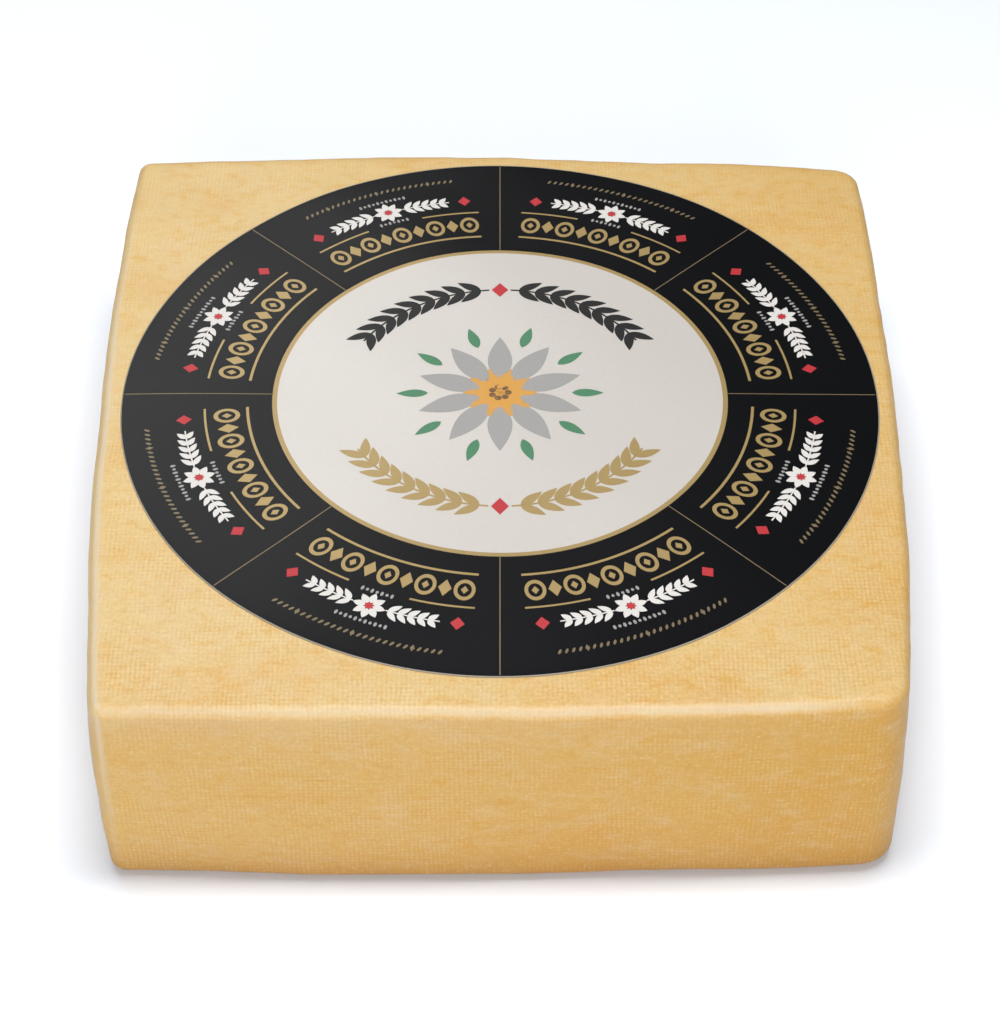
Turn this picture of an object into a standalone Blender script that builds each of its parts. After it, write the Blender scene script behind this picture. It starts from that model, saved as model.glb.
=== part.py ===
"""Square block of raclette cheese with a round paper label on its top.

The block is one solid: a four-sided plan with bowed sides and rounded corners, sides that belly out a
little, a domed and gently uneven top, and a flat base. The label is a thin disc that follows the top.
Metres, +Z up, front at -Y. The origin is the middle of the base.
"""

from dataclasses import dataclass
from math import cos, hypot, pi, sin

import bmesh
import bpy
from mathutils import Vector
from mathutils.geometry import interpolate_bezier

# Driving dimensions
LABEL_RADIUS = 0.128
LABEL_THICKNESS = 0.0004
LABEL_GAP = 0.0003
HEIGHT = 0.0812
TOP_FILLET = 0.0036
BASE_FILLET = 0.0052
TOP_DOME = 0.0009
DOME_RADIUS = 0.140

# Steps of the mesh
SIDE_STEPS = 24
CORNER_STEPS = 9
FILLET_STEPS = 5
WALL_STEPS = 8
TOP_RINGS = 8
LABEL_RINGS = 6
LABEL_SPOKES = 96

BEZIER_ROUND = 0.56


@dataclass(frozen=True)
class Corner:
    """A corner of the plan before rounding, seen from the label's centre, and its rounding."""

    x: float
    y: float
    radius: float


@dataclass(frozen=True)
class Side:
    """How far a side bows out in plan, bellies out between base and top, and leans in at the top."""

    bow: float
    belly: float
    lean: float


@dataclass(frozen=True)
class Wave:
    """One slow swell of the surface: its height, its wavelengths along X and Y, and its phase."""

    height: float
    length_x: float
    length_y: float
    phase: float


# Counter-clockwise from the front left; each side runs from its corner to the next
CORNERS = (
    Corner(-0.1256, -0.1433, 0.0062),
    Corner(0.1255, -0.1405, 0.0118),
    Corner(0.1344, 0.1312, 0.0108),
    Corner(-0.1367, 0.1358, 0.0062),
)
FRONT = Side(bow=0.0029, belly=0.0026, lean=0.0)
RIGHT = Side(bow=0.0056, belly=0.0006, lean=0.0010)
BACK = Side(bow=0.0050, belly=0.0030, lean=0.0)
LEFT = Side(bow=0.0066, belly=0.0019, lean=0.0004)
SIDES = (FRONT, RIGHT, BACK, LEFT)

TOP_WAVES = (
    Wave(0.00022, 0.190, 0.260, 0.4),
    Wave(0.00016, -0.110, 0.170, 1.9),
    Wave(0.00010, 0.085, 0.074, 3.1),
)
WALL_WAVES = (
    Wave(0.00030, 0.150, 0.210, 0.9),
    Wave(0.00020, 0.072, -0.088, 2.6),
)

RIND_COLOR = (0.760, 0.530, 0.230, 1.0)
PAPER_COLOR = (0.035, 0.036, 0.040, 1.0)


def clear_scene():
    for obj in list(bpy.data.objects):
        bpy.data.objects.remove(obj, do_unlink=True)


def make_material(name, color, roughness):
    material = bpy.data.materials.new(name)
    material.use_nodes = True
    shader = material.node_tree.nodes["Principled BSDF"]
    shader.inputs["Base Color"].default_value = color
    shader.inputs["Roughness"].default_value = roughness
    shader.inputs["Metallic"].default_value = 0.0
    material.diffuse_color = color
    return material


def swell(x, y, waves):
    return sum(
        wave.height * sin(2 * pi * (x / wave.length_x + y / wave.length_y) + wave.phase)
        for wave in waves
    )


def top_relief(x, y):
    """Height of the top surface over its nominal plane: a low dome with slow swells."""
    dome = TOP_DOME * (1 - (hypot(x, y) / DOME_RADIUS) ** 2)
    return dome + swell(x, y, TOP_WAVES)


def bowed_side(index):
    """Points along one side, between the roundings of its two corners."""
    start, end = CORNERS[index], CORNERS[(index + 1) % len(CORNERS)]
    run = Vector((end.x - start.x, end.y - start.y))
    outward = Vector((run.y, -run.x)).normalized()
    first = start.radius / run.length
    last = 1 - end.radius / run.length
    points = []
    for step in range(SIDE_STEPS + 1):
        along = first + (last - first) * step / SIDE_STEPS
        bow = SIDES[index].bow * 4 * along * (1 - along)
        points.append(Vector((start.x, start.y)) + run * along + outward * bow)
    return points


def rounded_corner(before, after):
    """Points strictly between the end of one side and the start of the next, on a round blend."""
    entry, leave = before[-1], after[0]
    run_in = (before[-1] - before[-2]).normalized()
    run_out = (after[1] - after[0]).normalized()
    reach = BEZIER_ROUND * (leave - entry).length / 2**0.5
    curve = interpolate_bezier(
        entry, entry + run_in * reach, leave - run_out * reach, leave, CORNER_STEPS
    )
    return [point.to_2d() for point in curve[1:-1]]


def plan_outline():
    """The widest plan of the block as a closed loop of points, counter-clockwise."""
    sides = [bowed_side(index) for index in range(len(CORNERS))]
    outline = []
    for index, side in enumerate(sides):
        outline += side + rounded_corner(side, sides[(index + 1) % len(sides)])
    return outline


def outward_normals(outline):
    count = len(outline)
    normals = []
    for index in range(count):
        run = outline[(index + 1) % count] - outline[index - 1]
        normals.append(Vector((run.y, -run.x)).normalized())
    return normals


def facing_weights(normal):
    """Share of front, right, back and left in a wall that faces this way; they add up to 1."""
    return (
        max(-normal.y, 0) ** 2,
        max(normal.x, 0) ** 2,
        max(normal.y, 0) ** 2,
        max(-normal.x, 0) ** 2,
    )


def wall_inset(point, normal, height):
    """How far the wall stands in from the widest plan at this height."""
    weights = facing_weights(normal)
    belly = sum(weight * side.belly for weight, side in zip(weights, SIDES))
    lean = sum(weight * side.lean for weight, side in zip(weights, SIDES))
    rise = 2 * height / HEIGHT - 1
    return belly * rise**2 + lean * rise - swell(point.x + height, point.y, WALL_WAVES)


def wall_profile():
    """Pairs of fillet inset and nominal height, from the base's flat edge up to the top's."""
    profile = []
    for step in range(FILLET_STEPS + 1):
        angle = pi / 2 * step / FILLET_STEPS
        profile.append((BASE_FILLET * (1 - sin(angle)), BASE_FILLET * (1 - cos(angle))))
    wall = HEIGHT - BASE_FILLET - TOP_FILLET
    for step in range(1, WALL_STEPS):
        profile.append((0.0, BASE_FILLET + wall * step / WALL_STEPS))
    for step in range(FILLET_STEPS + 1):
        angle = pi / 2 * step / FILLET_STEPS
        rise = HEIGHT - TOP_FILLET * (1 - sin(angle))
        profile.append((TOP_FILLET * (1 - cos(angle)), rise))
    return profile


def ring_heights(points, height):
    """Lifts plan points to a nominal height; the top's relief fades out towards the base."""
    fade = (height / HEIGHT) ** 2
    return [Vector((p.x, p.y, height + fade * top_relief(p.x, p.y))) for p in points]


def block_rings():
    """Closed loops of points from the flat base, up the wall and in over the top."""
    outline = plan_outline()
    normals = outward_normals(outline)
    rings = []
    for fillet, height in wall_profile():
        edge = [
            point - normal * (fillet + wall_inset(point, normal, height))
            for point, normal in zip(outline, normals)
        ]
        rings.append(ring_heights(edge, height))
    rim = [point.to_2d() for point in rings[-1]]
    for ring in range(TOP_RINGS - 1, 0, -1):
        share = ring / TOP_RINGS
        rings.append(ring_heights([point * share for point in rim], HEIGHT))
    return rings


def skin_rings(bm, rings):
    """Joins each loop of points to the next with quads and returns the loops as vertices."""
    loops = [[bm.verts.new(point) for point in ring] for ring in rings]
    for lower, upper in zip(loops, loops[1:]):
        for index in range(len(lower)):
            after = (index + 1) % len(lower)
            bm.faces.new((lower[index], lower[after], upper[after], upper[index]))
    return loops


def close_with_fan(bm, loop, tip):
    """Closes a loop with triangles to one point in its middle."""
    middle = bm.verts.new(tip)
    for index in range(len(loop)):
        bm.faces.new((loop[index], loop[(index + 1) % len(loop)], middle))


def finish_object(name, bm, material):
    bmesh.ops.recalc_face_normals(bm, faces=bm.faces)
    mesh = bpy.data.meshes.new(name)
    bm.to_mesh(mesh)
    bm.free()
    mesh.materials.append(material)
    for face in mesh.polygons:
        face.use_smooth = True
    obj = bpy.data.objects.new(name, mesh)
    bpy.context.scene.collection.objects.link(obj)
    return obj


def build_cheese_block(material):
    bm = bmesh.new()
    loops = skin_rings(bm, block_rings())
    bm.faces.new(list(reversed(loops[0])))
    close_with_fan(bm, loops[-1], Vector((0, 0, HEIGHT + top_relief(0, 0))))
    return finish_object("cheese_block", bm, material)


def label_circle(radius, lift):
    """Points on a circle of the label, at this height over the top surface."""
    points = []
    for spoke in range(LABEL_SPOKES):
        angle = 2 * pi * spoke / LABEL_SPOKES
        x, y = radius * cos(angle), radius * sin(angle)
        points.append(Vector((x, y, HEIGHT + top_relief(x, y) + lift)))
    return points


def build_label(material):
    """The paper disc: its underside from the middle out, then its upper face back in."""
    upper = LABEL_GAP + LABEL_THICKNESS
    radii = [LABEL_RADIUS * ring / LABEL_RINGS for ring in range(1, LABEL_RINGS + 1)]
    rings = [label_circle(radius, LABEL_GAP) for radius in radii]
    rings += [label_circle(radius, upper) for radius in reversed(radii)]
    bm = bmesh.new()
    loops = skin_rings(bm, rings)
    middle = HEIGHT + top_relief(0, 0)
    close_with_fan(bm, loops[0], Vector((0, 0, middle + LABEL_GAP)))
    close_with_fan(bm, loops[-1], Vector((0, 0, middle + upper)))
    return finish_object("label", bm, material)


def centre_over_origin(block, others):
    """Moves every mesh so that the middle of the block's plan is over the origin."""
    xs = [vertex.co.x for vertex in block.data.vertices]
    ys = [vertex.co.y for vertex in block.data.vertices]
    shift = Vector((-(min(xs) + max(xs)) / 2, -(min(ys) + max(ys)) / 2, 0))
    for obj in (block, *others):
        for vertex in obj.data.vertices:
            vertex.co += shift


def main():
    clear_scene()
    rind = make_material("waxed_rind", RIND_COLOR, 0.45)
    paper = make_material("printed_paper", PAPER_COLOR, 0.5)
    block = build_cheese_block(rind)
    label = build_label(paper)
    centre_over_origin(block, [label])


main()
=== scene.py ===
"""Looks of a square raclette cheese block with a round printed label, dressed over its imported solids.

The rind, the paper and the print are built here in metres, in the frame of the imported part: +Z up, front
at -Y, the origin in the middle of the flat base. The block and its label are rigid and ride on one body.
"""

from __future__ import annotations

import logging
from collections.abc import Mapping, Sequence
from dataclasses import dataclass, field
from enum import Enum
from math import cos, pi, radians, sin

import bpy
import numpy as np
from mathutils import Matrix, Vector

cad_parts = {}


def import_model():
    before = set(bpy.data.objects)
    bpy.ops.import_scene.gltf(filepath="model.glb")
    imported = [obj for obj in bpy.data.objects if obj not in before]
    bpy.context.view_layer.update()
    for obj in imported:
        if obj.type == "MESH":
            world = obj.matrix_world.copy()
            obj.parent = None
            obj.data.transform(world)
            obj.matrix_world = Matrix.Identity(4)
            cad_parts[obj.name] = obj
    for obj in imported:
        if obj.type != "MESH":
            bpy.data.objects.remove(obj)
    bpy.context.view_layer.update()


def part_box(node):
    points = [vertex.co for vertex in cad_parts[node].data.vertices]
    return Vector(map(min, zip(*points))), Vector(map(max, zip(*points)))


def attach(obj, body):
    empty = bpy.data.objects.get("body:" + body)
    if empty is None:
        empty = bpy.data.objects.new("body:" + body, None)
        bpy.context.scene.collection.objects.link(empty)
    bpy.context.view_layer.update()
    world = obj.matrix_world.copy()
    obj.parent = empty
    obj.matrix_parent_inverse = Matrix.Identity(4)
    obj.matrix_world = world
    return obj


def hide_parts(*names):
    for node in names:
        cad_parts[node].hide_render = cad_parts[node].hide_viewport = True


log = logging.getLogger("raclette_block")

BODY = "root"
MILLIMETRE = 0.001

Points = np.ndarray
Polygon = Sequence[tuple[float, float]]


def linear_color(hex_code: str) -> tuple[float, float, float, float]:
    """Turn an sRGB hex value into the linear colour that Blender's sockets take.

    Args:
        hex_code: Six hex digits, without a leading mark.

    Returns:
        Linear red, green and blue, and an alpha of 1.
    """
    channels = [int(hex_code[start : start + 2], 16) / 255 for start in (0, 2, 4)]
    red, green, blue = (
        c / 12.92 if c <= 0.04045 else ((c + 0.055) / 1.055) ** 2.4 for c in channels
    )
    return red, green, blue, 1.0


def add_node(
    tree: bpy.types.NodeTree,
    kind: str,
    inputs: Mapping[str | int, object] | None = None,
    **settings: object,
) -> bpy.types.Node:
    """Add one node to a tree, with its settings, input values and incoming links.

    Args:
        tree: The shader or geometry tree.
        kind: The node's type name.
        inputs: A value, or another node's output socket, for each input's name or index.
        **settings: The node's own properties.

    Returns:
        The new node.
    """
    node = tree.nodes.new(kind)
    for name, value in settings.items():
        setattr(node, name, value)
    for key, value in (inputs or {}).items():
        if isinstance(value, bpy.types.NodeSocket):
            tree.links.new(value, node.inputs[key])
        else:
            node.inputs[key].default_value = value
    return node


def new_material(name: str) -> tuple[bpy.types.Material, bpy.types.NodeTree]:
    """Make a material with an empty node tree.

    Args:
        name: The material's name.

    Returns:
        The material and its tree.
    """
    material = bpy.data.materials.new(name)
    material.use_nodes = True
    material.node_tree.nodes.clear()
    return material, material.node_tree


def mesh_object(
    name: str,
    vertices: Points | Sequence[Sequence[float]],
    faces: Sequence[Sequence[int]],
    materials: Sequence[bpy.types.Material],
    slots: Sequence[int] | None = None,
    smooth: bool = True,
) -> bpy.types.Object:
    """Make an object at the origin from points and faces.

    Args:
        name: The object's name.
        vertices: Corner positions in metres.
        faces: Vertex numbers of each face, counter-clockwise from outside.
        materials: The object's material slots.
        slots: The slot of each face, or None for the first one.
        smooth: Whether the faces are shaded smooth.

    Returns:
        The object, linked to the scene.
    """
    mesh = bpy.data.meshes.new(name)
    mesh.from_pydata([tuple(v) for v in vertices], [], [tuple(f) for f in faces])
    for material in materials:
        mesh.materials.append(material)
    mesh.polygons.foreach_set("use_smooth", [smooth] * len(faces))
    if slots is not None:
        mesh.polygons.foreach_set("material_index", list(slots))
    mesh.update()
    obj = bpy.data.objects.new(name, mesh)
    bpy.context.scene.collection.objects.link(obj)
    return obj


def ring_faces(rings: int, spokes: int) -> list[tuple[int, int, int, int]]:
    """Quads that join closed loops of equally many points, each loop to the next.

    Args:
        rings: How many loops there are.
        spokes: How many points each loop has.

    Returns:
        Vertex numbers of each quad, for loops stored one after another.
    """
    faces = []
    for ring in range(rings - 1):
        low, high = ring * spokes, (ring + 1) * spokes
        for spoke in range(spokes):
            after = (spoke + 1) % spokes
            faces.append((low + spoke, low + after, high + after, high + spoke))
    return faces


class Ink(Enum):
    """The printing inks of the label."""

    GOLD = "gold"
    BRONZE = "bronze"
    WHITE = "white"
    RED = "red"
    BLACK = "black"
    GREY = "grey"
    OCHRE = "ochre"
    BROWN = "brown"
    GREEN = "green"


@dataclass(frozen=True)
class ClothWeave:
    """The print of moulding linen: upright ribs and weaker cross threads, broken up by the curd's grain."""

    rib_spacing: float = 1.45 * MILLIMETRE
    cross_spacing: float = 1.55 * MILLIMETRE
    wander: float = 0.55 * MILLIMETRE
    wander_length: float = 17 * MILLIMETRE
    streak_length: float = 7 * MILLIMETRE
    grain_size: float = 1.1 * MILLIMETRE
    patch_length: float = 16 * MILLIMETRE
    rib_share: float = 0.085
    cross_share: float = 0.55
    weft_share: float = 0.34
    grain_share: float = 1.0
    dot_strength: float = 0.35

    def _threads(self, tree: bpy.types.NodeTree) -> bpy.types.Node:
        """Thread numbers across and along the ribs, with a slow wander, as a separated vector."""
        cloth = add_node(tree, "ShaderNodeUVMap", uv_map="cloth")
        wander = add_node(
            tree,
            "ShaderNodeTexNoise",
            {"Vector": cloth.outputs[0], "Scale": 1 / self.wander_length, "Detail": 3.0},
        )
        centred = add_node(
            tree,
            "ShaderNodeVectorMath",
            {0: wander.outputs["Color"], 1: (0.5, 0.5, 0.5)},
            operation="SUBTRACT",
        )
        shifted = add_node(
            tree,
            "ShaderNodeVectorMath",
            {
                0: centred.outputs[0],
                1: (4 * self.wander, 4 * self.wander, 0.0),
                2: cloth.outputs[0],
            },
            operation="MULTIPLY_ADD",
        )
        threads = add_node(
            tree,
            "ShaderNodeVectorMath",
            {0: shifted.outputs[0], 1: (1 / self.rib_spacing, 1 / self.cross_spacing, 0.0)},
            operation="MULTIPLY",
        )
        return add_node(tree, "ShaderNodeSeparateXYZ", {0: threads.outputs[0]})

    def _wave(
        self, tree: bpy.types.NodeTree, turns: bpy.types.NodeSocket, pace: float
    ) -> bpy.types.NodeSocket:
        """A sine across the threads.

        Args:
            tree: The material's tree.
            turns: The thread number at each place.
            pace: Whole waves for each thread.

        Returns:
            The wave, from -1 to 1.
        """
        angle = add_node(tree, "ShaderNodeMath", {0: turns, 1: 2 * pi * pace}, operation="MULTIPLY")
        return add_node(tree, "ShaderNodeMath", {0: angle.outputs[0]}, operation="SINE").outputs[0]

    def _streaks(
        self, tree: bpy.types.NodeTree, across: float, along: float
    ) -> bpy.types.NodeSocket:
        """Uneven tone drawn out along one thread direction.

        Args:
            tree: The material's tree.
            across: Size of the tone's features across the ribs.
            along: Their size along the ribs.

        Returns:
            The tone, around 0.5.
        """
        cloth = add_node(tree, "ShaderNodeUVMap", uv_map="cloth")
        drawn = add_node(
            tree,
            "ShaderNodeVectorMath",
            {0: cloth.outputs[0], 1: (1 / across, 1 / along, 0.0)},
            operation="MULTIPLY",
        )
        noise = add_node(
            tree, "ShaderNodeTexNoise", {"Vector": drawn.outputs[0], "Scale": 1.0, "Detail": 3.0}
        )
        return noise.outputs[0]

    def build(self, tree: bpy.types.NodeTree) -> dict[str, bpy.types.NodeSocket]:
        """Add the weave's nodes to a shader tree, on the surface's own map in metres.

        Args:
            tree: The material's tree.

        Returns:
            The sockets "height" of the print around 0, and "dots" on a few pale threads.
        """
        threads = self._threads(tree)
        place = add_node(tree, "ShaderNodeTexCoord").outputs["Object"]
        grain = add_node(
            tree,
            "ShaderNodeTexNoise",
            {"Vector": place, "Scale": 1 / self.grain_size, "Detail": 3.0, "Roughness": 0.6},
        ).outputs[0]
        warp = self._streaks(tree, 1.4 * self.rib_spacing, self.streak_length)
        weft = self._streaks(tree, self.streak_length, 0.7 * self.cross_spacing)
        patch_noise = add_node(
            tree,
            "ShaderNodeTexNoise",
            {"Vector": place, "Scale": 1 / self.patch_length, "Detail": 4.0},
        )
        clear = add_node(
            tree,
            "ShaderNodeMapRange",
            {
                "Value": patch_noise.outputs[0],
                "From Min": 0.36,
                "From Max": 0.62,
                "To Min": 0.4 * self.rib_share,
                "To Max": 3.0 * self.rib_share,
            },
            interpolation_type="SMOOTHSTEP",
        )
        rib_height = add_node(
            tree, "ShaderNodeMath", {0: clear.outputs[0], 1: warp}, operation="MULTIPLY"
        )
        cross = self._wave(tree, threads.outputs["Y"], 1.0)
        linen = add_node(
            tree,
            "ShaderNodeMath",
            {0: cross, 1: self.cross_share, 2: self._wave(tree, threads.outputs["X"], 1.0)},
            operation="MULTIPLY_ADD",
        )
        height: bpy.types.NodeSocket | float = 0.0
        for wave, middle, share in (
            (linen.outputs[0], 0.0, rib_height.outputs[0]),
            (weft, 0.5, self.weft_share),
            (grain, 0.5, self.grain_share),
        ):
            centred = add_node(tree, "ShaderNodeMath", {0: wave, 1: middle}, operation="SUBTRACT")
            height = add_node(
                tree,
                "ShaderNodeMath",
                {0: centred.outputs[0], 1: share, 2: height},
                operation="MULTIPLY_ADD",
            ).outputs[0]
        return {"height": height, "dots": self._pale_dots(tree, threads)}

    def _pale_dots(
        self, tree: bpy.types.NodeTree, threads: bpy.types.Node
    ) -> bpy.types.NodeSocket:
        """Short dotted stretches on a few cross threads, where the rind has stayed pale on every other rib.

        Args:
            tree: The material's tree.
            threads: The node with the thread numbers.

        Returns:
            The strength of the dots from 0 to 1.
        """
        along = threads.outputs["Y"]
        row = add_node(tree, "ShaderNodeMath", {0: along}, operation="FLOOR")
        luck = add_node(
            tree, "ShaderNodeTexWhiteNoise", {"W": row.outputs[0]}, noise_dimensions="1D"
        )
        inside = add_node(tree, "ShaderNodeMath", {0: along, 1: 0.5}, operation="PINGPONG")
        stretch = self._streaks(tree, self.streak_length, self.cross_spacing)
        crest = self._wave(tree, threads.outputs["X"], 0.5)
        dots: bpy.types.NodeSocket | float = self.dot_strength
        for value, low, high in (
            (luck.outputs["Value"], 0.82, 0.88),
            (stretch, 0.60, 0.68),
            (inside.outputs[0], 0.30, 0.44),
            (crest, 0.25, 0.80),
        ):
            shown = add_node(
                tree,
                "ShaderNodeMapRange",
                {"Value": value, "From Min": low, "From Max": high},
            )
            dots = add_node(
                tree, "ShaderNodeMath", {0: dots, 1: shown.outputs[0]}, operation="MULTIPLY"
            ).outputs[0]
        return dots


@dataclass(frozen=True)
class WaxedRind:
    """Semi-hard cheese rind, brushed and lightly waxed, pressed in linen while it was soft.

    It gives the eye a warm cream yellow that deepens to orange in blotches, at the walls and at the base,
    the base partly as painted shade, with painted shade on the flanks, along the right and back edges and
    towards the right, fine ribs from the cloth, paler on their crests, painted highlights along the edges
    and a soft satin gloss.
    """

    top_hex: str = "c9af7b"
    wall_hex: str = "c6a05c"
    blotch_hex: str = "c0872b"
    amber_hex: str = "c38f2c"
    cream_hex: str = "c8ab82"
    # Dark orange for the foot, partly the rind's own colour and partly painted shade, and painted shade on
    # the flanks and right top edge.
    base_and_shade_hex: str = "96600c"
    # Deeper orange: partly the rind's own colour, partly painted shade towards the right and along the back
    # edge.
    ripe_and_shade_hex: str = "b98722"
    yellow_hex: str = "cfab4a"
    crest_hex: str = "e2cda6"
    # Pale cream for the painted highlights along the block's edges.
    painted_highlight_hex: str = "cabca3"
    pit_hex: str = "a87a34"
    roughness: float = 0.42
    print_depth: float = 0.11 * MILLIMETRE
    draw: tuple[float, float, float] = (0.45, 0.70, 1.0)
    weave: ClothWeave = field(default_factory=ClothWeave)

    def _mottle(
        self, tree: bpy.types.NodeTree, size: float, low: float, high: float, most: float
    ) -> bpy.types.NodeSocket:
        """Soft-edged blotches in the body of the rind.

        Args:
            tree: The material's tree.
            size: Width of a blotch in metres.
            low: Noise value where a blotch starts.
            high: Noise value where it is full.
            most: The full strength.

        Returns:
            The strength of the blotches.
        """
        place = add_node(tree, "ShaderNodeTexCoord").outputs["Object"]
        drawn = add_node(
            tree, "ShaderNodeVectorMath", {0: place, 1: self.draw}, operation="MULTIPLY"
        )
        noise = add_node(
            tree,
            "ShaderNodeTexNoise",
            {"Vector": drawn.outputs[0], "Scale": 1 / size, "Detail": 5.0, "Roughness": 0.6},
        )
        mapped = add_node(
            tree,
            "ShaderNodeMapRange",
            {"Value": noise.outputs[0], "From Min": low, "From Max": high, "To Max": most},
            interpolation_type="SMOOTHSTEP",
        )
        return mapped.outputs[0]

    def build(self) -> bpy.types.Material:
        """Make the rind's material.

        Returns:
            The material, which reads the block's cloth map and its tint attributes.
        """
        material, tree = new_material("waxed_rind")
        weave = self.weave.build(tree)
        tint = {
            name: add_node(tree, "ShaderNodeAttribute", attribute_name=name).outputs["Fac"]
            for name in ("wall", "base", "left_edge", "ripe_and_shade", "painted_highlight_edge", "cloth_strength")
        }
        relief = add_node(
            tree,
            "ShaderNodeMath",
            {0: weave["height"], 1: tint["cloth_strength"]},
            operation="MULTIPLY",
        ).outputs[0]
        crests = add_node(tree, "ShaderNodeMapRange", {"Value": relief, "To Max": 0.9})
        pits = add_node(
            tree, "ShaderNodeMapRange", {"Value": relief, "From Max": -1.0, "To Max": 0.9}
        )
        coats = (
            (tint["wall"], self.wall_hex),
            (tint["ripe_and_shade"], self.ripe_and_shade_hex),
            (self._mottle(tree, 0.026, 0.46, 0.74, 0.42), self.blotch_hex),
            (self._mottle(tree, 0.0028, 0.44, 0.74, 0.48), self.amber_hex),
            # Deeper orange towards the right, partly colour and partly painted shade, and painted shade
            # along the back edge.
            (self._mottle(tree, 0.0046, 0.46, 0.74, 0.42), self.cream_hex),
            (tint["left_edge"], self.yellow_hex),
            # Darker at the foot, partly colour and partly painted shade, with painted shade on the flanks
            # and along the right top edge.
            (tint["base"], self.base_and_shade_hex),
            (pits.outputs[0], self.pit_hex),
            (crests.outputs[0], self.crest_hex),
            (weave["dots"], self.crest_hex),
            (self._mottle(tree, 0.0009, 0.64, 0.78, 0.28), self.crest_hex),
            # Painted highlights along the top front and left edges, the upper front and left walls and the
            # front left corner.
            (tint["painted_highlight_edge"], self.painted_highlight_hex),
        )
        ground = add_node(tree, "ShaderNodeRGB").outputs[0]
        ground.default_value = linear_color(self.top_hex)
        for strength, hex_code in coats:
            ground = add_node(
                tree,
                "ShaderNodeMix",
                {0: strength, 6: ground, 7: linear_color(hex_code)},
                data_type="RGBA",
            ).outputs[2]
        bump = add_node(
            tree,
            "ShaderNodeBump",
            {"Strength": 1.0, "Distance": self.print_depth, "Height": relief},
        )
        shader = add_node(
            tree,
            "ShaderNodeBsdfPrincipled",
            {
                "Base Color": ground,
                "Roughness": self.roughness,
                "IOR": 1.45,
                "Specular IOR Level": 0.28,
                "Subsurface Weight": 0.10,
                "Subsurface Radius": (1.0, 0.55, 0.22),
                "Subsurface Scale": 2.5 * MILLIMETRE,
                "Normal": bump.outputs[0],
            },
        )
        add_node(tree, "ShaderNodeOutputMaterial", {0: shader.outputs[0]})
        return material


@dataclass(frozen=True)
class DryRind:
    """Dry flakes of rind: dull pale cream, with no gloss."""

    flake_hex: str = "cdb27a"

    def build(self) -> bpy.types.Material:
        """Make the flakes' material.

        Returns:
            The material.
        """
        material, tree = new_material("dry_rind_flake")
        shader = add_node(
            tree,
            "ShaderNodeBsdfPrincipled",
            {
                "Base Color": linear_color(self.flake_hex),
                "Roughness": 0.7,
                "Specular IOR Level": 0.2,
            },
        )
        add_node(tree, "ShaderNodeOutputMaterial", {0: shader.outputs[0]})
        return material


@dataclass(frozen=True)
class PrintedPaper:
    """Uncoated label paper with a matt printed colour; it takes a faint linen grain from the rind below."""

    name: str
    hex_code: str
    roughness: float = 0.5
    metallic: float = 0.0
    specular: float = 0.5
    grain_depth: float = 0.03 * MILLIMETRE
    grain_length: float = 1.1 * MILLIMETRE
    tone: float = 0.05

    def build(self) -> bpy.types.Material:
        """Make the material of one printed colour.

        Returns:
            The material, which reads Object coordinates.
        """
        material, tree = new_material(self.name)
        place = add_node(tree, "ShaderNodeTexCoord").outputs["Object"]
        grain = add_node(
            tree,
            "ShaderNodeTexNoise",
            {"Vector": place, "Scale": 1 / self.grain_length, "Detail": 3.0},
        )
        red, green, blue, alpha = linear_color(self.hex_code)
        darker = tuple(c * (1 - self.tone) for c in (red, green, blue)) + (alpha,)
        lighter = tuple(min(1, c * (1 + self.tone)) for c in (red, green, blue)) + (alpha,)
        toned = add_node(
            tree,
            "ShaderNodeMix",
            {0: grain.outputs[0], 6: darker, 7: lighter},
            data_type="RGBA",
        )
        bump = add_node(
            tree,
            "ShaderNodeBump",
            {"Strength": 1.0, "Distance": self.grain_depth, "Height": grain.outputs[0]},
        )
        shader = add_node(
            tree,
            "ShaderNodeBsdfPrincipled",
            {
                "Base Color": toned.outputs[2],
                "Roughness": self.roughness,
                "Metallic": self.metallic,
                "Specular IOR Level": self.specular,
                "Normal": bump.outputs[0],
            },
        )
        add_node(tree, "ShaderNodeOutputMaterial", {0: shader.outputs[0]})
        return material


INK_FINISHES = {
    Ink.GOLD: PrintedPaper("matt_gold_ink", "9d8656", 0.42, 0.25),
    Ink.BRONZE: PrintedPaper("dull_bronze_ink", "75664a", 0.45, 0.2),
    Ink.WHITE: PrintedPaper("white_ink", "c9c6c2"),
    Ink.RED: PrintedPaper("red_ink", "a8222a"),
    Ink.BLACK: PrintedPaper("black_print_ink", "1d1d1e", specular=0.3),
    Ink.GREY: PrintedPaper("grey_ink", "8f8e8c"),
    Ink.OCHRE: PrintedPaper("ochre_ink", "c08c3c"),
    Ink.BROWN: PrintedPaper("brown_ink", "66462e"),
    Ink.GREEN: PrintedPaper("leaf_green_ink", "3e7453"),
}


@dataclass(frozen=True)
class Corner:
    """A corner of the block's plan before rounding, seen from the label's centre, and its rounding."""

    x: float
    y: float
    radius: float


@dataclass(frozen=True)
class Side:
    """How far a side bows out in plan, bellies out between base and top, and leans in at the top."""

    bow: float
    belly: float
    lean: float


@dataclass(frozen=True)
class Wave:
    """One slow swell of the surface: its height, its wavelengths along X and Y, and its phase."""

    height: float
    length_x: float
    length_y: float
    phase: float


def swell(x: Points, y: Points, waves: Sequence[Wave]) -> Points:
    """Sum slow swells at some places.

    Args:
        x: Positions along X.
        y: Positions along Y.
        waves: The swells.

    Returns:
        The height at each place.
    """
    return sum(
        wave.height * np.sin(2 * pi * (x / wave.length_x + y / wave.length_y) + wave.phase)
        for wave in waves
    )


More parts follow.
